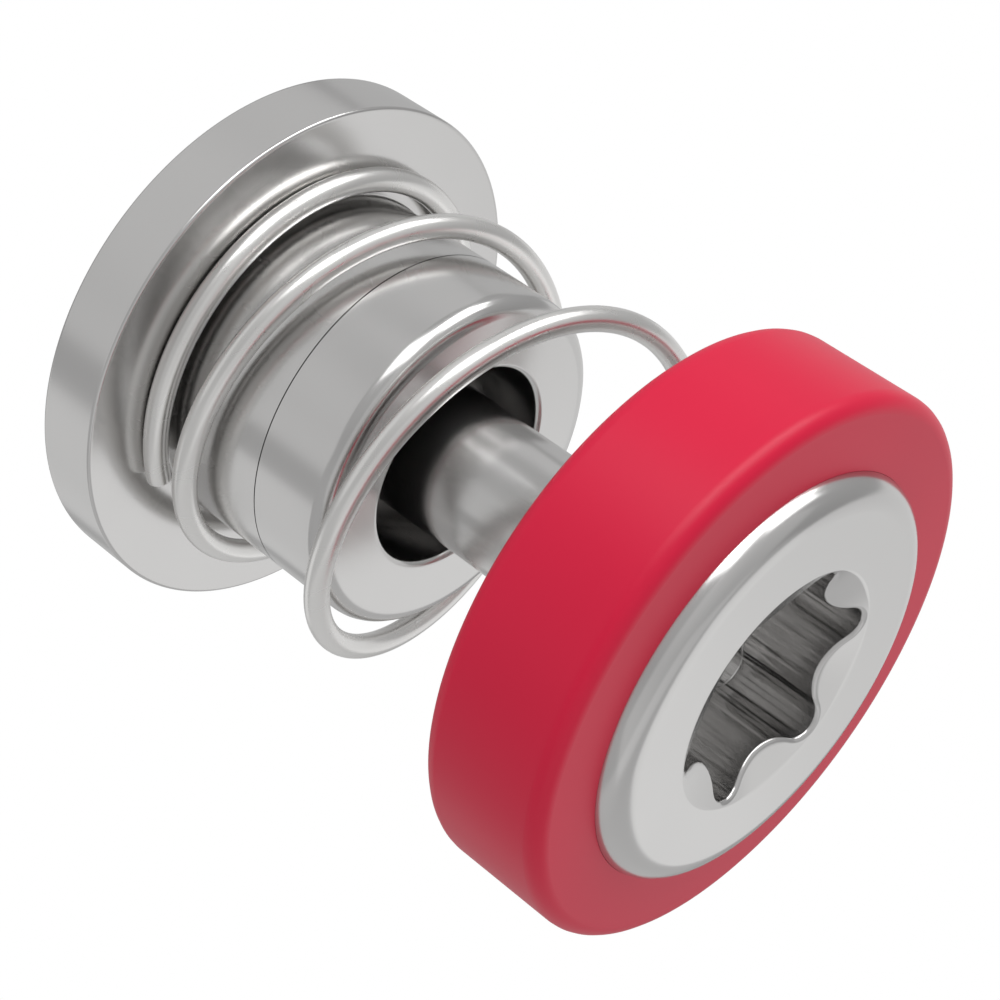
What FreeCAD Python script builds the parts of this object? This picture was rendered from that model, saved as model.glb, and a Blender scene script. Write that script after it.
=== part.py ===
import FreeCAD
import Part
import math
import os
from types import SimpleNamespace

import Sketcher
from FreeCAD import Placement, Rotation, Vector

# Captive panel screw, M4: a screw that floats in a press-in retainer and can't fall out of it,
# with a return spring round the retainer's barrel and a coloured plastic grip on its head.
# Millimetres. +Z runs along the screw towards its head. The origin is the centre of the flange's
# underside, the face that seats on the panel. The screw is drawn sprung out, as it is at rest.

SIZES = [
    # The screw in its retainer
    ("thread_dia", 4.0, "major diameter of the M4 thread"),
    ("float_gap", 0.6, "radial room for the screw to float, at its neck and at its thread"),
    ("catch_step", 0.25, "overlap of thread and collar hole that makes the screw captive"),
    ("seat_gap", 0.03, "play between the thread's run-out and the collar at rest"),
    ("travel", 3.85, "how far the screw can be pressed in"),
    ("press_gap", 0.08, "room left between head and barrel when pressed in"),
    ("tip_inset", 0.1, "how far the screw's tip stays inside the shank at rest"),
    ("tip_chamfer", 0.5, "chamfer on the screw's tip"),
    # Flange and barrel
    ("flange_dia", 9.0, "flange that rests on the panel"),
    ("flange_thick", 1.125, "thickness of the flange"),
    ("flange_break", 0.05, "edge break round the flange"),
    ("barrel_wall", 0.365, "wall of the barrel round the thread's chamber"),
    ("barrel_length", 3.63, "height of the barrel's front face above the flange"),
    ("rim_round", 0.28, "rounding of the barrel's front edge"),
    ("seam_height", 2.12, "height above the flange of the joint between retainer and collar"),
    ("seam_break", 0.015, "edge break on both sides of that joint"),
    ("hole_edge", 0.1, "chamfer at the inner end of the collar's hole, which the screw's run-out seats on"),
    ("hole_round", 0.1, "rounding of the hole's edge in the collar's front face"),
    ("spigot_length", 0.8, "length of collar pressed into the retainer"),
    ("spigot_lead", 0.1, "lead-in chamfer of that spigot"),
    # Shank that is pressed into the panel
    ("shank_wall", 0.45, "wall of the shank"),
    ("shank_length", 1.3, "reach of the shank below the flange"),
    ("shank_lead", 0.2, "lead-in chamfer of the shank"),
    ("ring_step", 0.25, "how far the toothed ring stands out of the shank"),
    ("ring_height", 0.4, "height of the toothed ring under the flange"),
    ("ring_teeth", 24, "number of teeth on the ring"),
    ("groove_depth", 0.2, "depth of the undercut that the panel's metal flows into"),
    ("groove_width", 0.3, "width of that undercut"),
    # Spring
    ("wire_dia", 0.4, "spring wire"),
    ("spring_clear", 0.19, "radial room between spring and barrel"),
    ("spring_turns", 3.9, "number of turns"),
    ("flat_turns", 0.45, "flat part of each end turn"),
    ("ramp_turns", 0.7, "part of a turn over which the pitch opens up"),
    ("spring_gap", 0.02, "play between the spring and each face that it pushes on"),
    # Head of the screw
    ("head_dia", 6.94, "head inside the grip"),
    ("head_proud", 0.37, "height of the head above the grip's front face"),
    ("head_round", 0.45, "rounding of the head's top edge"),
    ("seat_margin", 0.3, "reach of the head's flange outside the spring"),
    ("seat_thick", 0.45, "thickness of the head's flange"),
    ("recess_across", 3.95, "six-lobe recess, across the lobes"),
    ("recess_waist", 2.93, "six-lobe recess, across the ribs"),
    ("lobe_round", 0.345, "radius at the tip of a lobe"),
    ("recess_depth", 1.58, "depth of the recess"),
    ("lead_margin", 0.07, "reach of the conical lead-in outside the lobes"),
    ("lead_slope", 20.7, "slope of the lead-in in degrees"),
    # Plastic grip
    ("grip_wall", 1.165, "wall of the grip round the head"),
    ("grip_height", 2.26, "height of the grip"),
    ("grip_round", 0.25, "rounding of the grip's outer edges"),
    ("key_count", 12, "number of grooves that lock the grip to the head"),
    ("key_radius", 0.22, "radius of those grooves"),
    ("key_margin", 0.35, "distance of the grooves from both ends of the grip's bore"),
]

# Where the spring's lower cut end lies, in degrees from +X.
SPRING_END_ANGLE = -55.5
# Pairs of tangent arcs that follow each turn of the spring.
SPANS_PER_TURN = 4

doc = FreeCAD.newDocument("captive_panel_screw")
sheet = doc.addObject("Spreadsheet::Sheet", "sizes")
for row, (alias, number, meaning) in enumerate(SIZES, start=1):
    sheet.set("A%d" % row, meaning)
    sheet.set("B%d" % row, str(number))
    sheet.setAlias("B%d" % row, alias)
doc.recompute()


class Size:
    """A size that knows its formula of the sheet's cells and the number it gives."""

    def __init__(self, text, number):
        self.text = text
        self.number = number

    def join(self, sign, other, number):
        text = other.text if isinstance(other, Size) else repr(other)
        return Size("(%s %s %s)" % (self.text, sign, text), number)

    def __add__(self, other):
        return self.join("+", other, self.number + plain(other))

    def __sub__(self, other):
        return self.join("-", other, self.number - plain(other))

    def __mul__(self, other):
        return self.join("*", other, self.number * plain(other))

    def __truediv__(self, other):
        return self.join("/", other, self.number / plain(other))


def plain(item):
    return item.number if isinstance(item, Size) else item


s = SimpleNamespace(**{row[0]: Size("sizes." + row[0], float(sheet.get(row[0]))) for row in SIZES})
ZERO = s.flange_thick * 0

# Radii
thread_r = s.thread_dia / 2
hole_r = thread_r - s.catch_step
neck_r = hole_r - s.float_gap
chamber_r = thread_r + s.float_gap
barrel_r = chamber_r + s.barrel_wall
flange_r = s.flange_dia / 2
shank_r = chamber_r + s.shank_wall
wire_r = s.wire_dia / 2
coil_r = barrel_r + s.spring_clear + wire_r
head_r = s.head_dia / 2
seat_r = coil_r + wire_r + s.seat_margin
grip_r = head_r + s.grip_wall

# Heights
shank_z = ZERO - s.shank_length
seam_z = s.flange_thick + s.seam_height
spigot_z = seam_z - s.spigot_length
front_z = s.flange_thick + s.barrel_length
grip_z = front_z + s.travel + s.press_gap
grip_top_z = grip_z + s.grip_height
head_top_z = grip_top_z + s.head_proud
tip_z = shank_z + s.tip_inset
# The run-out is a 45 degree cone that seats on the chamfer of the collar's hole.
runout_z = spigot_z + s.hole_edge + s.float_gap - s.seat_gap


def new_body(label):
    body = doc.addObject("PartDesign::Body", label)
    body.Label = label
    return body


def new_sketch(body, name, role, height=None):
    """Sketch on one of the body's own planes, at a height along that plane's normal."""
    plane = [item for item in body.Origin.OriginFeatures if item.Role == role][0]
    sketch = body.newObject("Sketcher::SketchObject", name)
    sketch.AttachmentSupport = [(plane, "")]
    sketch.MapMode = "FlatFace"
    if height is not None:
        sketch.setExpression("AttachmentOffset.Base.z", height.text)
    return sketch


def place(sketch, geometry, point, x, y):
    """Tie a point of the sketch to its place from the origin."""
    for kind, distance in (("DistanceX", x), ("DistanceY", y)):
        index = sketch.addConstraint(
            Sketcher.Constraint(kind, -1, 1, geometry, point, distance.number))
        sketch.setExpression("Constraints[%d]" % index, distance.text)


def outline(sketch, corners):
    """Closed outline of straight lines through corners given as (radius, height)."""
    points = [Vector(r.number, z.number, 0) for r, z in corners]
    count = len(points)
    for i in range(count):
        sketch.addGeometry(Part.LineSegment(points[i], points[(i + 1) % count]), False)
    for i in range(count):
        sketch.addConstraint(Sketcher.Constraint("Coincident", i, 2, (i + 1) % count, 1))
    for i, (r, z) in enumerate(corners):
        place(sketch, i, 1, r, z)


def turned(body, name, corners, kind="PartDesign::Revolution"):
    """Turn an outline about Z, as a solid or, with a Groove, as a cut."""
    sketch = new_sketch(body, name + "_outline", "XZ_Plane")
    outline(sketch, corners)
    feature = body.newObject(kind, name)
    feature.Profile = sketch
    feature.ReferenceAxis = (sketch, ["V_Axis"])
    feature.Angle = 360
    doc.recompute()
    return feature


def round_edges(body, name, base, places, radius):
    """Round the circular edges that lie at the given (radius, height) places."""
    chosen = []
    for number, edge in enumerate(base.Shape.Edges, start=1):
        if not isinstance(edge.Curve, Part.Circle):
            continue
        for r, z in places:
            if abs(edge.Curve.Radius - r.number) < 1e-4 and abs(edge.Curve.Center.z - z.number) < 1e-4:
                chosen.append("Edge%d" % number)
    if len(chosen) != len(places):
        raise RuntimeError("%s found %d of its %d edges" % (name, len(chosen), len(places)))
    fillet = body.newObject("PartDesign::Fillet", name)
    fillet.Base = (base, chosen)
    fillet.setExpression("Radius", radius.text)
    doc.recompute()
    return fillet


def pocket_up(body, name, sketch, length):
    """Cut upwards from a sketch that lies flat at the pocket's lower end."""
    pocket = body.newObject("PartDesign::Pocket", name)
    pocket.Profile = sketch
    pocket.Type = "Length"
    pocket.setExpression("Length", length.text)
    pocket.Reversed = True
    doc.recompute()
    return pocket


def pattern_around(body, name, feature, sketch, count):
    """Repeat a cut evenly about Z."""
    pattern = body.newObject("PartDesign::PolarPattern", name)
    pattern.Originals = [feature]
    pattern.Axis = (sketch, ["N_Axis"])
    pattern.Angle = 360
    pattern.setExpression("Occurrences", count.text)
    body.Tip = pattern
    doc.recompute()
    return pattern


def make_retainer():
    """Flange, lower barrel and press-in shank, turned in one, open from end to end."""
    body = new_body("retainer")
    groove_z = ZERO - s.ring_height - s.groove_width
    ring_z = ZERO - s.ring_height
    ring_r = shank_r + s.ring_step
    groove_r = shank_r - s.groove_depth
    turned(body, "retainer_turning", [
        (chamber_r, shank_z),
        (shank_r - s.shank_lead, shank_z),
        (shank_r, shank_z + s.shank_lead),
        (shank_r, groove_z),
        (groove_r, groove_z),
        (groove_r, ring_z),
        (ring_r, ring_z),
        (ring_r, ZERO),
        (flange_r - s.flange_break, ZERO),
        (flange_r, ZERO + s.flange_break),
        (flange_r, s.flange_thick - s.flange_break),
        (flange_r - s.flange_break, s.flange_thick),
        (barrel_r, s.flange_thick),
        (barrel_r, seam_z - s.seam_break),
        (barrel_r - s.seam_break, seam_z),
        (chamber_r, seam_z),
    ])
    # One notch between two teeth of the ring: a vee as deep as the ring stands out of the shank.
    sketch = new_sketch(body, "tooth_notch", "XY_Plane", ring_z)
    outline(sketch, [
        (shank_r, ZERO),
        (ring_r + s.ring_step, s.ring_step * 2),
        (ring_r + s.ring_step, s.ring_step * -2),
    ])
    notch = pocket_up(body, "tooth_gap", sketch, s.ring_height)
    pattern_around(body, "toothed_ring", notch, sketch, s.ring_teeth)
    return body


def make_collar():
    """Front end of the barrel: its small hole stops the screw's thread from coming out."""
    body = new_body("retainer_collar")
    turning = turned(body, "collar_turning", [
        (hole_r + s.hole_edge, spigot_z),
        (chamber_r - s.spigot_lead, spigot_z),
        (chamber_r, spigot_z + s.spigot_lead),
        (chamber_r, seam_z),
        (barrel_r - s.seam_break, seam_z),
        (barrel_r, seam_z + s.seam_break),
        (barrel_r, front_z),
        (hole_r, front_z),
        (hole_r, spigot_z + s.hole_edge),
    ])
    rim = round_edges(body, "collar_rim", turning, [(barrel_r, front_z)], s.rim_round)
    round_edges(body, "hole_rim", rim, [(hole_r, front_z)], s.hole_round)
    return body


def recess_outline(sketch):
    """Six-lobe outline: six small tip arcs, each tangent to the two larger arcs beside it."""
    orbit = s.recess_across / 2 - s.lobe_round
    waist = s.recess_waist / 2
    # The larger arcs' radius follows from touching two tip arcs and the waist.
    a, b, e = orbit.number, waist.number, s.lobe_round.number
    cosine = math.cos(math.radians(30))
    rib = (a * a + b * b - 2 * a * b * cosine - e * e) / (2 * e - 2 * b + 2 * a * cosine)
    tips = [Vector(a, 0, 0), Vector((b + rib) * cosine, (b + rib) * 0.5, 0)]
    lean = math.atan2(tips[1].y - tips[0].y, tips[1].x - tips[0].x)
    back = math.atan2(tips[0].y - tips[1].y, tips[0].x - tips[1].x)
    half = math.radians(210) - back if back > 0 else math.radians(-150) - back
    for lobe in range(6):
        turn = math.radians(60 * lobe)
        for radius, centre, middle, reach in (
                (e, tips[0], turn, abs(lean)),
                (rib, tips[1], turn + math.radians(210), abs(half))):
            spot = Rotation(Vector(0, 0, 1), 60 * lobe).multVec(centre)
            circle = Part.Circle(spot, Vector(0, 0, 1), radius)
            sketch.addGeometry(Part.ArcOfCircle(circle, middle - reach, middle + reach), False)
    for lobe in range(6):
        tip, rib_arc, following = 2 * lobe, 2 * lobe + 1, (2 * lobe + 2) % 12
        # A tip arc runs counter-clockwise and so does a rib arc, so they meet end to end.
        sketch.addConstraint(Sketcher.Constraint("Tangent", tip, 2, rib_arc, 2))
        sketch.addConstraint(Sketcher.Constraint("Tangent", rib_arc, 1, following, 1))
        angle = math.radians(60 * lobe)
        place(sketch, tip, 3, orbit * math.cos(angle), orbit * math.sin(angle))
        if lobe:
            sketch.addConstraint(Sketcher.Constraint("Equal", 0, tip))
            sketch.addConstraint(Sketcher.Constraint("Equal", 1, rib_arc))
    index = sketch.addConstraint(Sketcher.Constraint("Radius", 0, e))
    sketch.setExpression("Constraints[%d]" % index, s.lobe_round.text)
    index = sketch.addConstraint(Sketcher.Constraint("Radius", 1, rib))


def make_screw():
    """Head with its flange and recess, thin neck, 45 degree run-out and M4 threaded end."""
    body = new_body("screw")
    turning = turned(body, "screw_turning", [
        (ZERO, tip_z),
        (thread_r - s.tip_chamfer, tip_z),
        (thread_r, tip_z + s.tip_chamfer),
        (thread_r, runout_z - thread_r + neck_r),
        (neck_r, runout_z),
        (neck_r, grip_z),
        (seat_r, grip_z),
        (seat_r, grip_z + s.seat_thick),
        (head_r, grip_z + s.seat_thick),
        (head_r, head_top_z),
        (ZERO, head_top_z),
    ])
    round_edges(body, "head_edge", turning, [(head_r, head_top_z)], s.head_round)
    lead_r = s.recess_across / 2 + s.lead_margin
    turned(body, "recess_lead_in", [
        (ZERO, head_top_z),
        (lead_r, head_top_z),
        (ZERO, head_top_z - lead_r * math.tan(math.radians(s.lead_slope.number))),
    ], "PartDesign::Groove")
    sketch = new_sketch(body, "recess_outline", "XY_Plane", head_top_z - s.recess_depth)
    recess_outline(sketch)
    pocket_up(body, "six_lobe_recess", sketch, s.recess_depth)
    # Grooves in the buried part of the head, which the plastic of the grip fills.
    key_z = grip_z + s.seat_thick + s.key_margin
    key_length = grip_top_z - s.key_margin - key_z
    sketch = new_sketch(body, "key_circle", "XY_Plane", key_z)
    sketch.addGeometry(Part.Circle(Vector(head_r.number, 0, 0), Vector(0, 0, 1), s.key_radius.number), False)
    place(sketch, 0, 3, head_r, ZERO)
    index = sketch.addConstraint(Sketcher.Constraint("Radius", 0, s.key_radius.number))
    sketch.setExpression("Constraints[%d]" % index, s.key_radius.text)
    groove = pocket_up(body, "key_groove", sketch, key_length)
    pattern_around(body, "key_grooves", groove, sketch, s.key_count)
    return body


def make_grip(screw):
    """Moulded plastic ring round the head. Its bore takes the form of the head it is moulded on."""
    # The blank reaches half a groove's radius deeper into the head than the grooves do.
    blank_bore_r = head_r - s.key_radius * 1.5
    blank = new_body("grip_blank")
    turning = turned(blank, "grip_turning", [
        (blank_bore_r, grip_z),
        (grip_r, grip_z),
        (grip_r, grip_top_z),
        (blank_bore_r, grip_top_z),
    ])
    round_edges(blank, "grip_edges", turning, [(grip_r, grip_z), (grip_r, grip_top_z)], s.grip_round)
    grip = doc.addObject("Part::Cut", "grip")
    grip.Label = "grip"
    grip.Base = blank
    grip.Tool = screw
    doc.recompute()
    return grip


def centre_line(turn):
    """Point and direction of the wire's centre line, so many turns from its lower cut end."""
    turns, flat, ramp = s.spring_turns.number, s.flat_turns.number, s.ramp_turns.number
    low = (s.flange_thick + s.spring_gap + wire_r).number
    high = (grip_z - s.spring_gap - wire_r).number
    pitch = (high - low) / (turns - 2 * flat - ramp)
    # Both ends are alike. From each, the pitch is none, then grows along a cosine to its full value.
    from_end = min(turn, turns - turn)
    share = min(max((from_end - flat) / ramp, 0), 1)
    rise = pitch * (1 - math.cos(math.pi * share)) / 2
    lift = pitch * ramp * (share / 2 - math.sin(math.pi * share) / (2 * math.pi))
    lift += pitch * max(from_end - flat - ramp, 0)
    height = low + lift if turn <= turns / 2 else high - lift
    angle = math.radians(SPRING_END_ANGLE - 360 * turn)
    point = Vector(coil_r.number * math.cos(angle), coil_r.number * math.sin(angle), height)
    ahead = coil_r.number * 2 * math.pi
    direction = Vector(ahead * math.sin(angle), -ahead * math.cos(angle), rise)
    return point, direction.normalize()


def arc_to(start, corner, end):
    """Arc from start to end, tangent to the lines that join both to the corner."""
    middle = (start + end) / 2
    half_turn = (corner - start).getAngle(end - corner) / 2
    share = math.cos(half_turn) / (1 + math.cos(half_turn))
    return Part.Arc(start, middle + (corner - middle) * share, end).toShape()


def arc_pair(start, end):
    """Two tangent arcs between two places of the centre line, in its direction at both."""
    (a, leaving), (b, arriving) = start, end
    across, lean = b - a, leaving + arriving
    spread = 4 - lean.dot(lean)
    along = across.dot(lean)
    reach = (math.sqrt(along * along + spread * across.dot(across)) - along) / spread
    first_corner, second_corner = a + leaving * reach, b - arriving * reach
    join = (first_corner + second_corner) / 2
    return [arc_to(a, first_corner, join), arc_to(join, second_corner, b)]


def make_spring():
    """Left-hand compression spring of round wire with plain cut ends."""
    turns = s.spring_turns.number
    spans = math.ceil(turns * SPANS_PER_TURN)
    places = [centre_line(turns * i / spans) for i in range(spans + 1)]
    arcs = []
    for start, end in zip(places, places[1:]):
        arcs += arc_pair(start, end)
    path = doc.addObject("Part::Feature", "spring_path")
    path.Shape = Part.Wire(arcs)
    section = doc.addObject("Part::Circle", "wire_section")
    section.setExpression("Radius", wire_r.text)
    section.Placement = Placement(places[0][0], Rotation(Vector(0, 0, 1), places[0][1]))
    spring = doc.addObject("Part::Sweep", "spring")
    spring.Label = "spring"
    spring.Sections = [section]
    spring.Spine = (path, [])
    spring.Solid = True
    spring.Frenet = True
    doc.recompute()
    return spring


screw = make_screw()
pieces = [make_retainer(), make_collar(), screw, make_grip(screw), make_spring()]
doc.recompute()

for item in doc.Objects:
    if "Invalid" in item.State or "Error" in item.State:
        raise RuntimeError("%s failed: %s" % (item.Name, item.State))
for piece in pieces:
    shape = piece.Shape
    if shape.isNull() or not shape.isValid() or len(shape.Solids) != 1:
        raise RuntimeError("%s is not one valid solid" % piece.Label)
    print("%-16s volume %8.3f  solids %d  faces %d" % (
        piece.Label, shape.Volume, len(shape.Solids), len(shape.Faces)))

os.makedirs("parts", exist_ok=True)
for piece in pieces:
    piece.Shape.exportStep("parts/%s.step" % piece.Label)
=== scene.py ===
import math
from types import SimpleNamespace

import bmesh
import bpy
from bpy.props import FloatProperty, FloatVectorProperty, IntProperty, PointerProperty
from mathutils import Euler, Matrix, Vector


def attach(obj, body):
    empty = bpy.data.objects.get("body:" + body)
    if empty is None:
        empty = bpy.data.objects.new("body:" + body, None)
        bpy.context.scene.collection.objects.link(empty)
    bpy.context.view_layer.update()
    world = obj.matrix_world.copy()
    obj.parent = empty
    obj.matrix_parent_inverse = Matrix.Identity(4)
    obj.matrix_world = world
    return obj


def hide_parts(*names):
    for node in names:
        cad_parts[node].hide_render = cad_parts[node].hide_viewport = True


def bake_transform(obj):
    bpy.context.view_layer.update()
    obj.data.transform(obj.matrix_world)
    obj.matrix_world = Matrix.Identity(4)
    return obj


bl_info = {
    "name": "Captive panel screw",
    "version": (1, 0, 0),
    "blender": (4, 5, 0),
    "location": "View3D > Sidebar > Captive screw",
    "description": "Dresses the captive panel screw and sets its studio",
    "category": "Object",
}

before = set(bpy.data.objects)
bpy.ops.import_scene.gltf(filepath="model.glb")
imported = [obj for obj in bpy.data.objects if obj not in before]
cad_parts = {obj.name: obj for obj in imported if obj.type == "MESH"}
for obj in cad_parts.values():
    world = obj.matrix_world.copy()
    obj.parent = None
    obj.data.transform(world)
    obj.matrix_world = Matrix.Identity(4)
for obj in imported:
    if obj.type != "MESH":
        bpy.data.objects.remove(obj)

MM = 0.001


# Properties

def length(name, millimetres, description):
    """Length that a user may change, given here in millimetres."""
    return FloatProperty(name=name, description=description, default=millimetres * MM,
                         unit="LENGTH", precision=6)


def colour(name, hex_code, description):
    """Colour that a user may change, given here as sRGB hex."""
    shares = [int(hex_code[i:i + 2], 16) / 255 for i in (0, 2, 4)]
    return FloatVectorProperty(name=name, description=description, default=shares,
                               size=3, subtype="COLOR_GAMMA")


class ScrewSizes(bpy.types.PropertyGroup):
    thread_dia: length("Thread diameter", 4.0, "Major diameter of the M4 thread")
    thread_pitch: length("Thread pitch", 0.7, "Pitch of the M4 thread")
    thread_depth: length("Thread depth", 0.43, "Depth of the thread's groove")
    float_gap: length("Float", 0.6, "Radial room for the screw to float")
    catch_step: length("Catch", 0.25, "Overlap of thread and collar hole")
    seat_gap: length("Seat gap", 0.03, "Play between the thread's run-out and the collar")
    travel: length("Travel", 3.85, "How far the screw can be pressed in")
    press_gap: length("Press gap", 0.08, "Room left between head and barrel when pressed in")
    tip_inset: length("Tip inset", 0.1, "How far the tip stays inside the shank")
    tip_chamfer: length("Tip chamfer", 0.5, "Chamfer on the screw's tip")
    flange_dia: length("Flange diameter", 9.0, "Flange that rests on the panel")
    flange_thick: length("Flange thickness", 1.125, "Thickness of the flange")
    flange_break: length("Flange edge", 0.05, "Edge break round the flange")
    barrel_wall: length("Barrel wall", 0.365, "Wall of the barrel")
    barrel_length: length("Barrel length", 3.63, "Height of the barrel above the flange")
    rim_round: length("Barrel rim", 0.28, "Rounding of the barrel's front edge")
    seam_height: length("Seam height", 2.12, "Height of the joint between retainer and collar")
    seam_gap: length("Seam gap", 0.02, "Fine gap that shows at that joint")
    hole_edge: length("Hole edge", 0.1, "Chamfer at the inner end of the collar's hole")
    hole_round: length("Hole rounding", 0.1, "Rounding of the hole's edge in the collar's front face")
    spigot_length: length("Spigot length", 0.8, "Length of collar pressed into the retainer")
    spigot_lead: length("Spigot lead-in", 0.1, "Lead-in chamfer of the spigot")
    shank_wall: length("Shank wall", 0.45, "Wall of the press-in shank")
    shank_length: length("Shank length", 1.3, "Reach of the shank below the flange")
    shank_lead: length("Shank lead-in", 0.2, "Lead-in chamfer of the shank")
    ring_step: length("Ring step", 0.25, "How far the toothed ring stands out")
    ring_height: length("Ring height", 0.4, "Height of the toothed ring")
    ring_teeth: IntProperty(name="Ring teeth", description="Number of teeth on the ring", default=24)
    groove_depth: length("Undercut depth", 0.2, "Depth of the undercut")
    groove_width: length("Undercut width", 0.3, "Width of the undercut")
    wire_dia: length("Wire diameter", 0.4, "Spring wire")
    spring_clear: length("Spring clearance", 0.19, "Radial room between spring and barrel")
    spring_turns: FloatProperty(name="Spring turns", description="Number of turns", default=3.9)
    flat_turns: FloatProperty(name="Flat turns", description="Flat part of each end turn", default=0.45)
    ramp_turns: FloatProperty(name="Ramp turns", description="Where the pitch opens up", default=0.7)
    spring_gap: length("Spring gap", 0.02, "Play between the spring and each face it pushes on")
    wire_break: length("Wire edge", 0.02, "Edge break at the spring's cut ends")
    head_dia: length("Head diameter", 6.94, "Head inside the grip")
    head_proud: length("Head height", 0.37, "Height of the head above the grip")
    head_round: length("Head rounding", 0.45, "Rounding of the head's top edge")
    seat_margin: length("Seat margin", 0.3, "Reach of the head's flange outside the spring")
    seat_thick: length("Seat thickness", 0.45, "Thickness of the head's flange")
    neck_round: length("Neck rounding", 0.09, "Rounding between the neck and the head's underside")
    recess_across: length("Recess across lobes", 3.95, "Six-lobe recess, across the lobes")
    recess_waist: length("Recess across ribs", 2.93, "Six-lobe recess, across the ribs")
    lobe_round: length("Lobe radius", 0.345, "Radius at the tip of a lobe")
    recess_depth: length("Recess depth", 1.58, "Depth of the recess")
    lead_margin: length("Lead-in margin", 0.07, "Reach of the conical lead-in outside the lobes")
    lead_slope: FloatProperty(name="Lead-in slope", description="Slope in degrees", default=20.7)
    floor_round: length("Recess floor rounding", 0.03, "Rounding between the recess's floor and its walls")
    lip_round: length("Recess lip", 0.06, "Rounding between the recess's walls and its lead-in")
    grip_wall: length("Grip wall", 1.165, "Wall of the grip round the head")
    grip_height: length("Grip height", 2.26, "Height of the grip")
    grip_round: length("Grip rounding", 0.25, "Rounding of the grip's outer edges")
    key_count: IntProperty(name="Keys", description="Ribs that lock the grip to the head", default=12)
    key_radius: length("Key radius", 0.22, "Radius of those ribs")
    key_margin: length("Key margin", 0.35, "Distance of the ribs from both ends of the bore")
    edge: length("Small edges", 0.03, "Rounding of every edge that looks sharp")


class ScrewColours(bpy.types.PropertyGroup):
    steel: colour("Steel", "D5D4D3", "Reflection colour of the turned steel")
    wire: colour("Wire", "F0EFED", "Reflection colour of the spring wire")
    grip: colour("Grip", "DC103E", "Moulded grip")
    floor: colour("Floor", "FFFFFF", "Floor under the part")


def sizes():
    return bpy.context.scene.screw_sizes


def colours():
    return bpy.context.scene.screw_colours


# Places that follow from the sizes

def places():
    """Radii and heights of the whole part, as in its drawing."""
    s = sizes()
    p = SimpleNamespace()
    p.thread_r = s.thread_dia / 2
    p.hole_r = p.thread_r - s.catch_step
    p.neck_r = p.hole_r - s.float_gap
    p.chamber_r = p.thread_r + s.float_gap
    p.barrel_r = p.chamber_r + s.barrel_wall
    p.flange_r = s.flange_dia / 2
    p.shank_r = p.chamber_r + s.shank_wall
    p.wire_r = s.wire_dia / 2
    p.coil_r = p.barrel_r + s.spring_clear + p.wire_r
    p.head_r = s.head_dia / 2
    p.seat_r = p.coil_r + p.wire_r + s.seat_margin
    p.grip_r = p.head_r + s.grip_wall
    # The head's rounding starts under the grip's face, so it is a little narrower there.
    below = max(s.head_round - s.head_proud, 0.0)
    p.mouth_r = p.head_r - s.head_round + math.sqrt(s.head_round ** 2 - below ** 2)
    p.mouth_depth = below
    p.shank_z = -s.shank_length
    p.seam_z = s.flange_thick + s.seam_height
    p.spigot_z = p.seam_z - s.spigot_length
    p.front_z = s.flange_thick + s.barrel_length
    p.grip_z = p.front_z + s.travel + s.press_gap
    p.grip_top_z = p.grip_z + s.grip_height
    p.head_top_z = p.grip_top_z + s.head_proud
    p.tip_z = p.shank_z + s.tip_inset
    p.runout_z = p.spigot_z + s.hole_edge + s.float_gap - s.seat_gap
    return p


# Mesh helpers

# Steps in each rounding, and in each circle round the axis
ROUND_STEPS = 6
TURN_STEPS = 288
# Edges that turn by more degrees than this are shaded sharp.
SHARP_ANGLE = 32
# Most of a side that the rounding at one end of it may take
SIDE_SHARE = 0.49
# How far from a rounding the point that keeps a flat face flat lies
HOLD = 0.02 * MM
# A side gets such a point only where it has this many times that length to spare.
HOLD_ROOM = 4
# Points closer than this are one point.
SAME_PLACE = 0.00001 * MM


def rounded(corners, closed=True):
    """Outline through (radius, height, rounding) corners, with an arc at each corner."""
    count = len(corners)
    points = []
    for i, (r, z, rounding) in enumerate(corners):
        here = Vector((r, z))
        inner = closed or 0 < i < count - 1
        if not rounding or not inner:
            points.append(here)
            continue
        back = Vector(corners[i - 1][:2]) - here
        ahead = Vector(corners[(i + 1) % count][:2]) - here
        back_length, ahead_length = back.length, ahead.length
        back.normalize()
        ahead.normalize()
        half = back.angle(ahead) / 2
        reach = min(rounding / math.tan(half), SIDE_SHARE * back_length, SIDE_SHARE * ahead_length)
        radius = reach * math.tan(half)
        centre = here + (back + ahead).normalized() * (radius / math.sin(half))
        first = here + back * reach - centre
        last = here + ahead * reach - centre
        sweep = math.pi - 2 * half
        if first.x * last.y - first.y * last.x < 0:
            sweep = -sweep
        # A point a little way off on both sides keeps the flat faces flat in the shading.
        hold = min(reach / 2, HOLD)
        if back_length - reach > HOLD_ROOM * hold:
            points.append(here + back * (reach + hold))
        for k in range(ROUND_STEPS + 1):
            angle = sweep * k / ROUND_STEPS
            turned = Vector((first.x * math.cos(angle) - first.y * math.sin(angle),
                             first.x * math.sin(angle) + first.y * math.cos(angle)))
            points.append(centre + turned)
        if ahead_length - reach > HOLD_ROOM * hold:
            points.append(here + ahead * (reach + hold))
    return [(p.x, p.y) for p in points]


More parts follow.
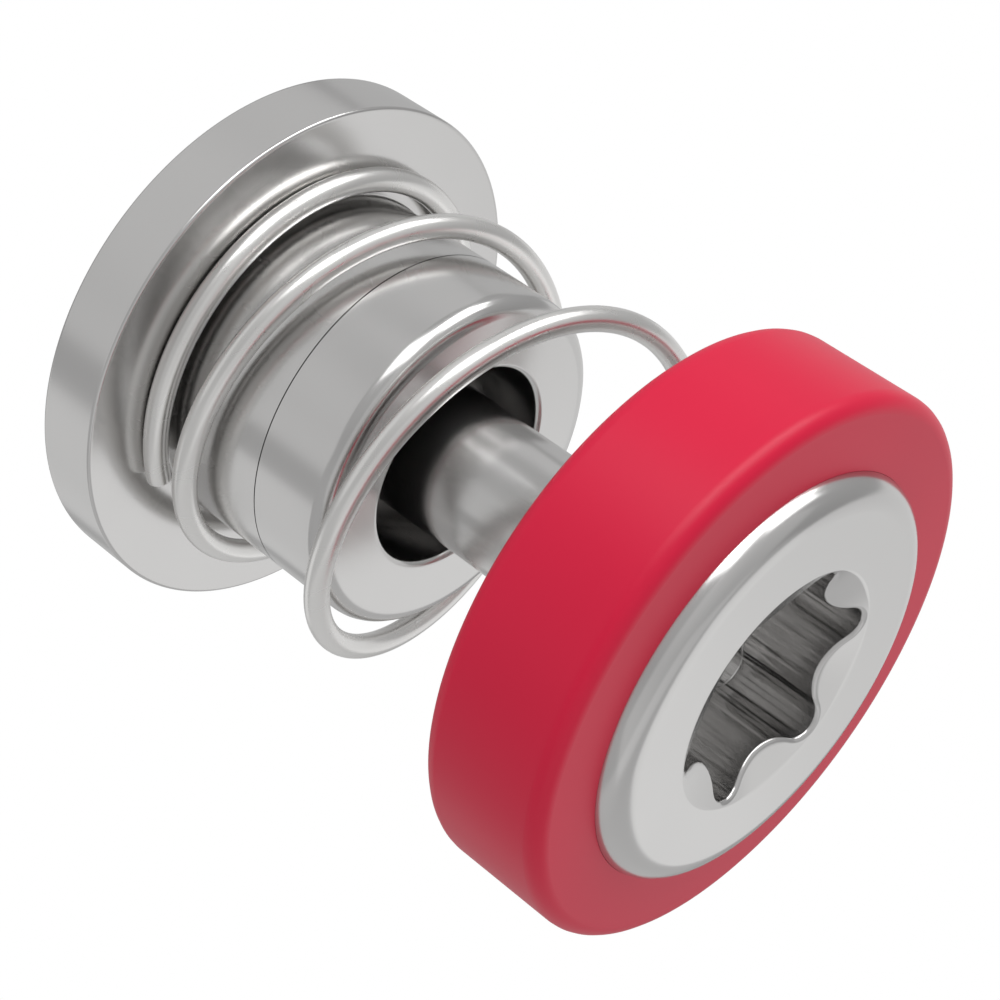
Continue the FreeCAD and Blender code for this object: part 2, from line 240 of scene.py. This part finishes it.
def skin(name, rings, closed=False):
    """Mesh through rings of points. A ring of one point closes the mesh to a tip."""
    data = bpy.data.meshes.new(name)
    mesh = bmesh.new()
    made = [[mesh.verts.new(point) for point in ring] for ring in rings]
    pairs = list(zip(made, made[1:]))
    if closed:
        pairs.append((made[-1], made[0]))
    for low, high in pairs:
        count = max(len(low), len(high))
        for k in range(count):
            n = (k + 1) % count
            if len(low) == 1:
                mesh.faces.new((low[0], high[n], high[k]))
            elif len(high) == 1:
                mesh.faces.new((low[k], low[n], high[0]))
            else:
                mesh.faces.new((low[k], low[n], high[n], high[k]))
    # Two rings may run together for a stretch. Their points are joined there, so no face is empty.
    bmesh.ops.remove_doubles(mesh, verts=mesh.verts, dist=SAME_PLACE)
    bmesh.ops.recalc_face_normals(mesh, faces=mesh.faces)
    mesh.to_mesh(data)
    mesh.free()
    data.shade_smooth()
    data.set_sharp_from_angle(angle=math.radians(SHARP_ANGLE))
    piece = bpy.data.objects.new(name, data)
    bpy.context.collection.objects.link(piece)
    return piece


def circle(radius, height):
    """Ring about Z. The radius may be a number or a function of the angle."""
    ring = []
    for k in range(TURN_STEPS):
        angle = 2 * math.pi * k / TURN_STEPS
        r = radius(angle) if callable(radius) else radius
        ring.append(Vector((r * math.cos(angle), r * math.sin(angle), height)))
    return ring


def dress(piece, node, body, material):
    """The piece stands for its CAD node, moves with its body and shows its material."""
    piece.data.materials.clear()
    piece.data.materials.append(material)
    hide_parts(node)
    if body:
        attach(piece, body)
    return piece


# Materials

STEEL_ROUGHNESS = 0.2
WIRE_ROUGHNESS = 0.28
PLASTIC_ROUGHNESS = 0.38
# Polyamide usually has about 1.53. The grip reflects less than that, so this is matched to it.
PLASTIC_IOR = 1.42
# How far the metal's roughness wanders, and the size of its patches in millimetres
SHEEN_STEP = 0.01
STEEL_PATCH = 1.2
WIRE_PATCH = 0.4
# How far the plastic's brightness wanders, and the size of its patches in millimetres
TINT_STEP = 0.015
TINT_PATCH = 2.5
# Most of a soft noise lies between these values.
NOISE_LOW = 0.3
NOISE_HIGH = 0.7
# Rings that a lathe's cutter leaves: its feed for each turn and their depth, in millimetres
TURNING_FEED = 0.05
TURNING_DEPTH = 0.0001
# Lines that the punch leaves, in millimetres. Real ones are far finer and shallower and would not show,
# so they are drawn as coarse and as deep as they need to show.
PUNCH_SPACING = 0.3
PUNCH_DEPTH = 0.22
# Width of such a line as a share of its length
PUNCH_STRETCH = 0.07
# A wall stands upright where its normal's share along Z is smaller than this.
UPRIGHT_LIMIT = 0.1
# Grain of the moulded plastic, in millimetres
GRAIN_SIZE = 0.04
GRAIN_DEPTH = 0.0002


def linear(gamma_colour):
    """sRGB shares to the linear values that shaders take."""
    return [c / 12.92 if c <= 0.04045 else ((c + 0.055) / 1.055) ** 2.4 for c in gamma_colour] + [1.0]


def add_node(tree, kind, inputs=None, **settings):
    """New shader node with its settings and its inputs, each a value or a socket to link."""
    node = tree.nodes.new(kind)
    for key, value in settings.items():
        setattr(node, key, value)
    for key, value in (inputs or {}).items():
        if isinstance(value, bpy.types.NodeSocket):
            tree.links.new(value, node.inputs[key])
        else:
            node.inputs[key].default_value = value
    return node


def new_material(name):
    """Material with an empty node tree, and that tree."""
    material = bpy.data.materials.new(name)
    material.use_nodes = True
    material.node_tree.nodes.clear()
    return material, material.node_tree


def finish_material(tree, shader):
    """Join the shader to the material's output."""
    add_node(tree, "ShaderNodeOutputMaterial", {"Surface": shader.outputs[0]})


def radius_and_height(tree, place):
    """Sockets with a point's distance from the part's axis and its height."""
    parts = add_node(tree, "ShaderNodeSeparateXYZ", {"Vector": place})
    flat = add_node(tree, "ShaderNodeCombineXYZ", {"X": parts.outputs["X"], "Y": parts.outputs["Y"]})
    radius = add_node(tree, "ShaderNodeVectorMath", {0: flat.outputs[0]}, operation="LENGTH")
    return radius.outputs["Value"], parts.outputs["Z"]


def clouded(tree, place, patch_size, low, high):
    """Socket that wanders softly between two values, in patches of the given size."""
    cloud = add_node(tree, "ShaderNodeTexNoise", {
        "Vector": place, "Scale": 1 / (patch_size * MM), "Detail": 0.0})
    spread = add_node(tree, "ShaderNodeMapRange", {
        "Value": cloud.outputs["Fac"], "From Min": NOISE_LOW, "From Max": NOISE_HIGH,
        "To Min": low, "To Max": high})
    return spread.outputs["Result"]


def turning_marks(tree, radius, height):
    """Normal with fine rings round the axis, a cutter's feed apart."""
    # Noise along radius and height only, so its lines run round the axis.
    ring_place = add_node(tree, "ShaderNodeCombineXYZ", {"X": radius, "Z": height})
    rings = add_node(tree, "ShaderNodeTexNoise", {
        "Vector": ring_place.outputs[0], "Scale": 1 / (TURNING_FEED * MM), "Detail": 2.0})
    bump = add_node(tree, "ShaderNodeBump", {
        "Height": rings.outputs["Fac"], "Strength": 1.0, "Distance": TURNING_DEPTH * MM})
    return bump.outputs["Normal"]


def turned_steel(name, gamma_colour, roughness):
    """Stainless steel, turned on a lathe and tumbled: soft sheen with barely visible rings round the axis."""
    material, tree = new_material(name)
    place = add_node(tree, "ShaderNodeTexCoord").outputs["Object"]
    radius, height = radius_and_height(tree, place)
    normal = turning_marks(tree, radius, height)
    sheen = clouded(tree, place, STEEL_PATCH, roughness - SHEEN_STEP, roughness + SHEEN_STEP)
    shader = add_node(tree, "ShaderNodeBsdfPrincipled", {
        "Base Color": linear(gamma_colour), "Metallic": 1.0, "Roughness": sheen, "Normal": normal})
    finish_material(tree, shader)
    return material


def headed_steel(name, gamma_colour, roughness):
    """Stainless screw, headed and tumbled bright, with the lines that the punch dragged down its recess."""
    s, p = sizes(), places()
    material, tree = new_material(name)
    place = add_node(tree, "ShaderNodeTexCoord").outputs["Object"]
    radius, height = radius_and_height(tree, place)
    # The lines hardly change with height.
    squeezed = add_node(tree, "ShaderNodeVectorMath", {0: place, 1: (1.0, 1.0, PUNCH_STRETCH)},
                        operation="MULTIPLY")
    lines = add_node(tree, "ShaderNodeTexNoise", {
        "Vector": squeezed.outputs[0], "Scale": 1 / (PUNCH_SPACING * MM), "Detail": 2.0})
    # They are on the recess's wall: where the surface stands upright, within the lobes, above the neck.
    normal = add_node(tree, "ShaderNodeNewGeometry").outputs["Normal"]
    facing = add_node(tree, "ShaderNodeSeparateXYZ", {"Vector": normal})
    upright = add_node(tree, "ShaderNodeMath", {0: facing.outputs["Z"], 1: 0.0, 2: UPRIGHT_LIMIT},
                       operation="COMPARE")
    inside = add_node(tree, "ShaderNodeMath", {0: radius, 1: s.recess_across / 2 + s.lip_round},
                      operation="LESS_THAN")
    above = add_node(tree, "ShaderNodeMath", {0: height, 1: p.grip_z}, operation="GREATER_THAN")
    marked = add_node(tree, "ShaderNodeMath", {0: upright.outputs[0], 1: inside.outputs[0]},
                      operation="MULTIPLY")
    marked = add_node(tree, "ShaderNodeMath", {0: marked.outputs[0], 1: above.outputs[0]},
                      operation="MULTIPLY")
    bump = add_node(tree, "ShaderNodeBump", {
        "Height": lines.outputs["Fac"], "Strength": marked.outputs[0], "Distance": PUNCH_DEPTH * MM})
    sheen = clouded(tree, place, STEEL_PATCH, roughness - SHEEN_STEP, roughness + SHEEN_STEP)
    shader = add_node(tree, "ShaderNodeBsdfPrincipled", {
        "Base Color": linear(gamma_colour), "Metallic": 1.0, "Roughness": sheen,
        "Normal": bump.outputs["Normal"]})
    finish_material(tree, shader)
    return material


def drawn_wire(name, gamma_colour, roughness):
    """Stainless spring wire, drawn through a die and coiled bright: smooth, with soft highlights."""
    material, tree = new_material(name)
    place = add_node(tree, "ShaderNodeTexCoord").outputs["Object"]
    sheen = clouded(tree, place, WIRE_PATCH, roughness - SHEEN_STEP, roughness + SHEEN_STEP)
    shader = add_node(tree, "ShaderNodeBsdfPrincipled", {
        "Base Color": linear(gamma_colour), "Metallic": 1.0, "Roughness": sheen})
    finish_material(tree, shader)
    return material


def moulded_plastic(name, gamma_colour, roughness):
    """Red polyamide moulded in a finely etched cavity: deep even colour, soft sheen, faint grain."""
    material, tree = new_material(name)
    place = add_node(tree, "ShaderNodeTexCoord").outputs["Object"]
    value = clouded(tree, place, TINT_PATCH, 1 - TINT_STEP, 1 + TINT_STEP)
    tint = add_node(tree, "ShaderNodeHueSaturation", {"Color": linear(gamma_colour), "Value": value})
    grain = add_node(tree, "ShaderNodeTexNoise", {
        "Vector": place, "Scale": 1 / (GRAIN_SIZE * MM), "Detail": 2.0})
    bump = add_node(tree, "ShaderNodeBump", {
        "Height": grain.outputs["Fac"], "Strength": 1.0, "Distance": GRAIN_DEPTH * MM})
    shader = add_node(tree, "ShaderNodeBsdfPrincipled", {
        "Base Color": tint.outputs["Color"], "Roughness": roughness, "IOR": PLASTIC_IOR,
        "Normal": bump.outputs["Normal"]})
    finish_material(tree, shader)
    return material


# Pieces

def build_retainer():
    """Flange, lower barrel and press-in shank with its toothed ring."""
    s, p = sizes(), places()
    ring_r = p.shank_r + s.ring_step
    groove_r = p.shank_r - s.groove_depth
    e = s.edge

    def toothed(angle):
        """Radius of the ring: a vee as deep as the ring's step between each two teeth."""
        step = 2 * math.pi / s.ring_teeth
        off = (angle + step / 2) % step - step / 2
        return min(ring_r, p.shank_r + abs(math.sin(off)) * ring_r)

    corners = [
        (p.chamber_r, p.shank_z, e),
        (p.shank_r - s.shank_lead, p.shank_z, e),
        (p.shank_r, p.shank_z + s.shank_lead, e),
        (p.shank_r, -s.ring_height - s.groove_width, e),
        (groove_r, -s.ring_height - s.groove_width, 0),
        (groove_r, -s.ring_height, 0),
        (ring_r, -s.ring_height, 0),
        (ring_r, 0, 0),
        (p.flange_r, 0, s.flange_break),
        (p.flange_r, s.flange_thick, s.flange_break),
        (p.barrel_r, s.flange_thick, e),
        (p.barrel_r, p.seam_z - s.seam_gap, 0),
        (p.chamber_r, p.seam_z - s.seam_gap, e),
    ]
    rings = []
    for r, z in rounded(corners):
        on_ring = abs(r - ring_r) < SAME_PLACE and z <= 0
        rings.append(circle(toothed if on_ring else r, z))
    return skin("retainer_dressed", rings, closed=True)


def build_collar():
    """Front half of the barrel with the small hole that keeps the screw."""
    s, p = sizes(), places()
    e = s.edge
    corners = [
        (p.hole_r + s.hole_edge, p.spigot_z, e),
        (p.chamber_r - s.spigot_lead, p.spigot_z, e),
        (p.chamber_r, p.spigot_z + s.spigot_lead, e),
        (p.chamber_r, p.seam_z, 0),
        (p.barrel_r, p.seam_z, 0),
        (p.barrel_r, p.front_z, s.rim_round),
        (p.hole_r, p.front_z, s.hole_round),
        (p.hole_r, p.spigot_z + s.hole_edge, e),
    ]
    return skin("collar_dressed", [circle(r, z) for r, z in rounded(corners)], closed=True)


# Lobes of the recess, with the steps round each lobe and round each rib between two lobes
LOBES = 6
LOBE_STEPS = 18
RIB_STEPS = 30


def recess_outline(grow=0.0):
    """Six-lobe outline as points round the centre, moved outwards by grow."""
    s = sizes()
    tip = s.lobe_round
    orbit = s.recess_across / 2 - tip
    waist = s.recess_waist / 2
    half_step = math.pi / LOBES
    cosine = math.cos(half_step)
    rib = (orbit ** 2 + waist ** 2 - 2 * orbit * waist * cosine - tip ** 2) / (
        2 * tip - 2 * waist + 2 * orbit * cosine)
    far = waist + rib
    # Half the turn of a tip arc, up to where it touches the rib arc beside it.
    reach = math.atan2(far * math.sin(half_step), far * cosine - orbit)
    rib_reach = reach - half_step
    points = []
    for lobe in range(LOBES):
        turn = 2 * half_step * lobe
        for k in range(LOBE_STEPS):
            angle = turn - reach + 2 * reach * k / LOBE_STEPS
            points.append(Vector((orbit * math.cos(turn) + (tip + grow) * math.cos(angle),
                                  orbit * math.sin(turn) + (tip + grow) * math.sin(angle))))
        middle = turn + half_step
        for k in range(RIB_STEPS):
            angle = middle + math.pi + rib_reach - 2 * rib_reach * k / RIB_STEPS
            points.append(Vector((far * math.cos(middle) + (rib - grow) * math.cos(angle),
                                  far * math.sin(middle) + (rib - grow) * math.sin(angle))))
    return points


# Rings in each turn of the thread
THREAD_STEPS = 36
# Share of the pitch that is flat at a crest, and as much at a root
FLAT_SHARE = 0.125
# Places of the rings along a plain stretch, as shares of it
QUARTERS = (0.25, 0.5, 0.75)
# Places of the rings across the lead-in's cone, close to both its edges and at its middle
CONE_SHARES = (0.1, 0.5, 0.9, 1.0)


def build_screw():
    """Head with its recess, neck, run-out and real thread."""
    s, p = sizes(), places()
    e = s.edge
    top = p.head_top_z
    floor_z = top - s.recess_depth
    lead_r = s.recess_across / 2 + s.lead_margin
    slope = math.tan(math.radians(s.lead_slope))

    def on_cone(point):
        return top - (lead_r - point.length) * slope

    # Recess, from the middle of its floor up its wall to the cone of the lead-in
    rings = [[Vector((0, 0, floor_z))]]
    corner = s.floor_round
    for share in QUARTERS:
        rings.append([Vector((q.x * share, q.y * share, floor_z)) for q in recess_outline(-corner)])
    for k in range(ROUND_STEPS + 1):
        angle = math.radians(90) * k / ROUND_STEPS
        inset = corner * (1 - math.sin(angle))
        lift = corner * (1 - math.cos(angle))
        rings.append([Vector((q.x, q.y, floor_z + lift)) for q in recess_outline(-inset)])
    lip = s.lip_round
    wall = recess_outline()
    low = floor_z + corner
    for share in QUARTERS:
        rings.append([Vector((q.x, q.y, low + (on_cone(q) - lip - low) * share)) for q in wall])
    for k in range(ROUND_STEPS + 1):
        angle = math.radians(90) * k / ROUND_STEPS
        out = recess_outline(lip * (1 - math.cos(angle)))
        rings.append([Vector((q.x, q.y, on_cone(q) - lip * (1 - math.sin(angle)))) for q in out])
    outer = recess_outline(lip)
    for share in CONE_SHARES:
        ring = []
        for q in outer:
            radius = q.length + (max(lead_r, q.length) - q.length) * share
            ring.append(Vector((q.x, q.y, 0)).normalized() * radius
                        + Vector((0, 0, min(top, top - (lead_r - radius) * slope))))
        rings.append(ring)
    directions = [math.atan2(q.y, q.x) for q in outer]

    def around(radius, height):
        return [Vector((radius * math.cos(a), radius * math.sin(a), height)) for a in directions]

    thread_top = p.runout_z - p.thread_r + p.neck_r

    def threaded(angle, height):
        """Radius on the thread: sixty degree vees with flat crests, fading out towards the neck."""
        share = (height / s.thread_pitch - angle / (2 * math.pi)) % 1.0
        vee = abs(share - 0.5) * 2
        depth = s.thread_depth * min(max((1 - FLAT_SHARE - vee) / (1 - 2 * FLAT_SHARE), 0.0), 1.0)
        fade = min(max((thread_top - height) / s.thread_pitch, 0.0), 1.0)
        return p.thread_r - depth * fade

    # Head, underside and neck
    head = [
        (lead_r + HOLD, top, 0),
        (p.head_r, top, s.head_round),
        (p.head_r, p.grip_z + s.seat_thick, 0),
        (p.seat_r, p.grip_z + s.seat_thick, 0),
        (p.seat_r, p.grip_z, e),
        (p.neck_r, p.grip_z, s.neck_round),
        (p.neck_r, p.runout_z, e),
        (p.thread_r, thread_top, 0),
    ]
    # The last point is where the thread's own rings take over.
    for r, z in rounded(head, closed=False)[:-1]:
        rings.append(around(r, z))

    # Thread, in fine steps down to the chamfered tip. Each line of its skin turns with it.
    steps = int((p.runout_z - p.tip_z) / s.thread_pitch * THREAD_STEPS)
    for k in range(1, steps + 1):
        z = p.runout_z - (p.runout_z - p.tip_z) * k / steps
        turn = 2 * math.pi * (z - p.runout_z) / s.thread_pitch
        limit = min(p.thread_r, p.neck_r + p.runout_z - z, p.thread_r - s.tip_chamfer + z - p.tip_z)
        ring = []
        for direction in directions:
            angle = direction + turn
            radius = min(limit, threaded(angle, z))
            ring.append(Vector((radius * math.cos(angle), radius * math.sin(angle), z)))
        rings.append(ring)
    rings.append([Vector((point.x / 2, point.y / 2, p.tip_z)) for point in rings[-1]])
    rings.append([Vector((0, 0, p.tip_z))])
    return skin("screw_dressed", rings)


def build_grip():
    """Moulded ring round the head, with the hidden ribs that lock it there."""
    s, p = sizes(), places()

    def ribbed(angle):
        """Radius of the bore where ribs reach into the head's grooves."""
        step = 2 * math.pi / s.key_count
        off = p.head_r * math.sin((angle + step / 2) % step - step / 2)
        return p.head_r - math.sqrt(max(s.key_radius ** 2 - off ** 2, 0.0))

    seat_top = p.grip_z + s.seat_thick
    outline = rounded([
        (p.seat_r, seat_top, 0),
        (p.seat_r, p.grip_z, s.edge),
        (p.grip_r, p.grip_z, s.grip_round),
        (p.grip_r, p.grip_top_z, s.grip_round),
        (p.mouth_r, p.grip_top_z, 0),
        (p.head_r, p.grip_top_z - p.mouth_depth, 0),
    ], closed=False)
    low, high = seat_top + s.key_margin, p.grip_top_z - s.key_margin
    bore = [(p.head_r, high), (ribbed, high), (ribbed, low), (p.head_r, low), (p.head_r, seat_top)]
    return skin("grip_dressed", [circle(r, z) for r, z in outline + bore], closed=True)


# Where the wire's lower cut end lies round the axis, in degrees
SPRING_END_ANGLE = -55.5
# Steps round the wire, and rings in each turn of the spring
WIRE_STEPS = 28
COIL_STEPS = 150


def centre_line(turn):
    """Point and direction of the wire's centre line, so many turns from its lower cut end."""
    s, p = sizes(), places()
    low = s.flange_thick + s.spring_gap + p.wire_r
    high = p.grip_z - s.spring_gap - p.wire_r
    pitch = (high - low) / (s.spring_turns - 2 * s.flat_turns - s.ramp_turns)
    from_end = min(turn, s.spring_turns - turn)
    share = min(max((from_end - s.flat_turns) / s.ramp_turns, 0), 1)
    rise = pitch * (1 - math.cos(math.pi * share)) / 2
    lift = pitch * s.ramp_turns * (share / 2 - math.sin(math.pi * share) / (2 * math.pi))
    lift += pitch * max(from_end - s.flat_turns - s.ramp_turns, 0)
    height = low + lift if turn <= s.spring_turns / 2 else high - lift
    angle = math.radians(SPRING_END_ANGLE - 360 * turn)
    ahead = p.coil_r * 2 * math.pi
    point = Vector((p.coil_r * math.cos(angle), p.coil_r * math.sin(angle), height))
    return point, Vector((ahead * math.sin(angle), -ahead * math.cos(angle), rise)).normalized()


def build_spring():
    """Round wire swept along the spring's line, with its edges just broken at the cut ends."""
    s, p = sizes(), places()
    edge = s.wire_break
    steps = int(s.spring_turns * COIL_STEPS)
    # Steps round the quarter circle of the edge break
    quarter = [math.radians(30), math.radians(60), math.radians(90)]
    # Each station is a turn, the wire's radius there and how far past that turn it lies.
    stations = [(0.0, p.wire_r - edge, 0.0)]
    stations += [(0.0, p.wire_r - edge * (1 - math.sin(a)), edge * (1 - math.cos(a))) for a in quarter]
    stations += [(s.spring_turns * k / steps, p.wire_r, 0.0) for k in range(1, steps)]
    stations += [(s.spring_turns, p.wire_r - edge * (1 - math.sin(a)), -edge * (1 - math.cos(a)))
                 for a in reversed(quarter)]
    stations += [(s.spring_turns, p.wire_r - edge, 0.0)]
    rings = []
    for turn, radius, along in stations:
        point, direction = centre_line(turn)
        outwards = Vector((point.x, point.y, 0)).normalized()
        side = direction.cross(outwards)
        centre = point + direction * along
        ring = []
        for k in range(WIRE_STEPS):
            angle = 2 * math.pi * k / WIRE_STEPS
            ring.append(centre + (outwards * math.cos(angle) + side * math.sin(angle)) * radius)
        rings.append(ring)
    rings.insert(0, [centre_line(0.0)[0]])
    rings.append([centre_line(s.spring_turns)[0]])
    return skin("spring_dressed", rings)


def keep_wire_round():
    """Reads the heights of the wire's two ends from its centre line, and changes nothing."""
    p = places()
    low, high = centre_line(0.0)[0].z, centre_line(sizes().spring_turns)[0].z


# Stage

# Camera: its place in millimetres, the direction that it looks from and its roll in degrees
CAMERA_PLACE = (-14.388, -31.066, 25.383)
CAMERA_AZIMUTH = -114.95
CAMERA_ELEVATION = 29.92
CAMERA_ROLL = 125.25
# Its lens and sensor, and the nearest and the farthest that it sees, in millimetres
CAMERA_LENS = 91.39
CAMERA_SENSOR = 36.0
NEAREST = 1.0
FARTHEST = 10000.0
# Side of the floor, in millimetres
FLOOR_SIZE = 2000.0


def build_camera():
    """Camera where the photograph was taken from, rolled as it was."""
    data = bpy.data.cameras.new("camera")
    data.lens = CAMERA_LENS
    data.sensor_width = CAMERA_SENSOR
    data.clip_start = NEAREST * MM
    data.clip_end = FARTHEST * MM
    camera = bpy.data.objects.new("camera", data)
    bpy.context.collection.objects.link(camera)
    camera.location = Vector(CAMERA_PLACE) * MM
    pitch, heading = math.radians(90 - CAMERA_ELEVATION), math.radians(CAMERA_AZIMUTH + 90)
    aim = Euler((pitch, 0, heading)).to_quaternion()
    roll = Euler((0, 0, math.radians(CAMERA_ROLL))).to_quaternion()
    camera.rotation_euler = (aim @ roll).to_euler()
    bpy.context.scene.camera = camera


def build_floor():
    """Plain white floor, level with the pressed screw's tip. It gives no light and has no shadows."""
    material, tree = new_material("floor_white")
    shader = add_node(tree, "ShaderNodeEmission", {"Color": linear(colours().floor), "Strength": 1.0})
    finish_material(tree, shader)
    half = FLOOR_SIZE * MM / 2
    z = places().tip_z - sizes().travel
    data = bpy.data.meshes.new("floor")
    corners = [(-half, -half, z), (half, -half, z), (half, half, z), (-half, half, z)]
    data.from_pydata(corners, [], [(0, 1, 2, 3)])
    data.materials.append(material)
    floor = bpy.data.objects.new("floor", data)
    bpy.context.collection.objects.link(floor)
    floor.visible_diffuse = False
    floor.visible_glossy = False
    floor.visible_shadow = False


# Brightness of the studio's grey walls, where 1 is white: all round, and more towards some directions
ROOM_BASE = 0.36
ROOM_WALLS = [
    ((1, 0, 0), 0.17),
    ((-1, 0, 0), 0.20),
    ((0, 1, 0), 0.07),
    ((0, -1, 0), 0.18),
]
# Soft boxes, as (name, azimuth, elevation, turn, half width, half height, brightness).
# Places, turns and sizes are in degrees, as seen from the part, and the brightness adds to the room's.
SOFT_BOXES = [
    ("overhead_strip", -175.9, 1.3, 0.0, 32.4, 3.0, 3.75),
    ("overhead_left", 170.7, 8.9, 19.7, 15.7, 16.9, 1.97),
    ("overhead_right", -152.8, 0.9, -63.6, 24.8, 15.2, 1.94),
    ("face", 79.6, 23.1, -69.5, 45.4, 20.6, 0.38),
    ("face_fill", 17.9, 37.8, -12.2, 41.8, 60.0, 0.14),
    ("head_fill", -118.0, 66.0, 0.0, 60.0, 36.0, 0.15),
    ("low_left", -139.5, -56.6, 95.1, 21.6, 59.6, 0.22),
    ("low_right", -8.0, -39.1, 12.3, 26.4, 11.2, 0.31),
    ("low_far", 85.0, -33.0, 0.0, 40.0, 14.0, 0.17),
]
# Distance of the boxes, in millimetres
BOX_DISTANCE = 250.0


def build_room():
    """Grey room all round, a little brighter towards some walls."""
    world = bpy.data.worlds.new("studio")
    world.use_nodes = True
    tree = world.node_tree
    tree.nodes.clear()
    direction = add_node(tree, "ShaderNodeTexCoord").outputs["Generated"]
    total = ROOM_BASE
    for towards, brightness in ROOM_WALLS:
        facing = add_node(tree, "ShaderNodeVectorMath", {0: direction, 1: towards}, operation="DOT_PRODUCT")
        share = add_node(tree, "ShaderNodeMath", {0: facing.outputs["Value"], 1: 0.0}, operation="MAXIMUM")
        total = add_node(tree, "ShaderNodeMath", {0: share.outputs[0], 1: brightness, 2: total},
                         operation="MULTIPLY_ADD").outputs[0]
    room = add_node(tree, "ShaderNodeBackground", {"Strength": total})
    # The eye sees plain white past the floor, and the part is lit by the room.
    white = add_node(tree, "ShaderNodeBackground", {"Color": linear(colours().floor)})
    seen = add_node(tree, "ShaderNodeLightPath")
    mixed = add_node(tree, "ShaderNodeMixShader", {
        0: seen.outputs["Is Camera Ray"], 1: room.outputs[0], 2: white.outputs[0]})
    add_node(tree, "ShaderNodeOutputWorld", {"Surface": mixed.outputs[0]})
    bpy.context.scene.world = world


def build_soft_box(name, azimuth, elevation, turn, half_width, half_height, brightness):
    """Area light that faces the part from a given direction, with its size as seen from there."""
    data = bpy.data.lights.new(name, "AREA")
    data.shape = "RECTANGLE"
    distance = BOX_DISTANCE * MM
    data.size = 2 * distance * math.tan(math.radians(half_width))
    data.size_y = 2 * distance * math.tan(math.radians(half_height))
    data.energy = brightness * math.pi * data.size * data.size_y
    lamp = bpy.data.objects.new(name, data)
    bpy.context.collection.objects.link(lamp)
    a, b = math.radians(azimuth), math.radians(elevation)
    back = Vector((math.cos(a) * math.cos(b), math.sin(a) * math.cos(b), math.sin(b)))
    level = Vector((0, 0, 1)).cross(back).normalized()
    rise = back.cross(level)
    t = math.radians(turn)
    across = level * math.cos(t) + rise * math.sin(t)
    lamp.matrix_world = Matrix((across, back.cross(across), back)).transposed().to_4x4()
    lamp.location = Vector((0, 0, places().front_z)) + back * distance
    lamp.visible_camera = False


def build_light():
    """Plain soft studio light: the room and its soft boxes."""
    build_room()
    for box in SOFT_BOXES:
        build_soft_box(*box)
    bpy.context.scene.view_settings.view_transform = "Standard"


# Operators and panel

class SCREW_OT_retainer(bpy.types.Operator):
    """Build the retainer and its collar"""
    bl_idname = "screw.retainer"
    bl_label = "Retainer"

    def execute(self, context):
        steel = turned_steel("turned_steel", colours().steel, STEEL_ROUGHNESS)
        dress(build_retainer(), "retainer", "retainer", steel)
        dress(build_collar(), "retainer_collar", "retainer", steel)
        return {"FINISHED"}


class SCREW_OT_screw(bpy.types.Operator):
    """Build the screw"""
    bl_idname = "screw.screw"
    bl_label = "Screw"

    def execute(self, context):
        steel = headed_steel("headed_steel", colours().steel, STEEL_ROUGHNESS)
        dress(build_screw(), "screw", "screw", steel)
        return {"FINISHED"}


class SCREW_OT_grip(bpy.types.Operator):
    """Build the grip"""
    bl_idname = "screw.grip"
    bl_label = "Grip"

    def execute(self, context):
        plastic = moulded_plastic("moulded_red_polyamide", colours().grip, PLASTIC_ROUGHNESS)
        dress(build_grip(), "grip", "screw", plastic)
        return {"FINISHED"}


class SCREW_OT_spring(bpy.types.Operator):
    """Build the spring"""
    bl_idname = "screw.spring"
    bl_label = "Spring"

    def execute(self, context):
        s, p = sizes(), places()
        wire = drawn_wire("drawn_spring_wire", colours().wire, WIRE_ROUGHNESS)
        spring = dress(build_spring(), "spring", None, wire)
        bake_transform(spring)
        keep_wire_round()
        return {"FINISHED"}


class SCREW_OT_stage(bpy.types.Operator):
    """Set the camera, the floor and the studio light"""
    bl_idname = "screw.stage"
    bl_label = "Stage"

    def execute(self, context):
        build_camera()
        build_floor()
        build_light()
        return {"FINISHED"}


class SCREW_PT_panel(bpy.types.Panel):
    bl_idname = "SCREW_PT_panel"
    bl_label = "Captive screw"
    bl_space_type = "VIEW_3D"
    bl_region_type = "UI"
    bl_category = "Captive screw"

    def draw(self, context):
        for operator in OPERATORS:
            self.layout.operator(operator.bl_idname)
        for group in (context.scene.screw_sizes, context.scene.screw_colours):
            for name in group.bl_rna.properties.keys():
                if name not in ("rna_type", "name"):
                    self.layout.prop(group, name)


OPERATORS = [SCREW_OT_retainer, SCREW_OT_screw, SCREW_OT_grip, SCREW_OT_spring, SCREW_OT_stage]
CLASSES = [ScrewSizes, ScrewColours] + OPERATORS + [SCREW_PT_panel]


def register():
    for cls in CLASSES:
        bpy.utils.register_class(cls)
    bpy.types.Scene.screw_sizes = PointerProperty(type=ScrewSizes)
    bpy.types.Scene.screw_colours = PointerProperty(type=ScrewColours)


def unregister():
    del bpy.types.Scene.screw_colours
    del bpy.types.Scene.screw_sizes
    for cls in reversed(CLASSES):
        bpy.utils.unregister_class(cls)


def main():
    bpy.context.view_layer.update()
    register()
    bpy.ops.screw.retainer()
    bpy.ops.screw.screw()
    bpy.ops.screw.grip()
    bpy.ops.screw.spring()
    bpy.ops.screw.stage()


if __name__ == "__main__":
    main()
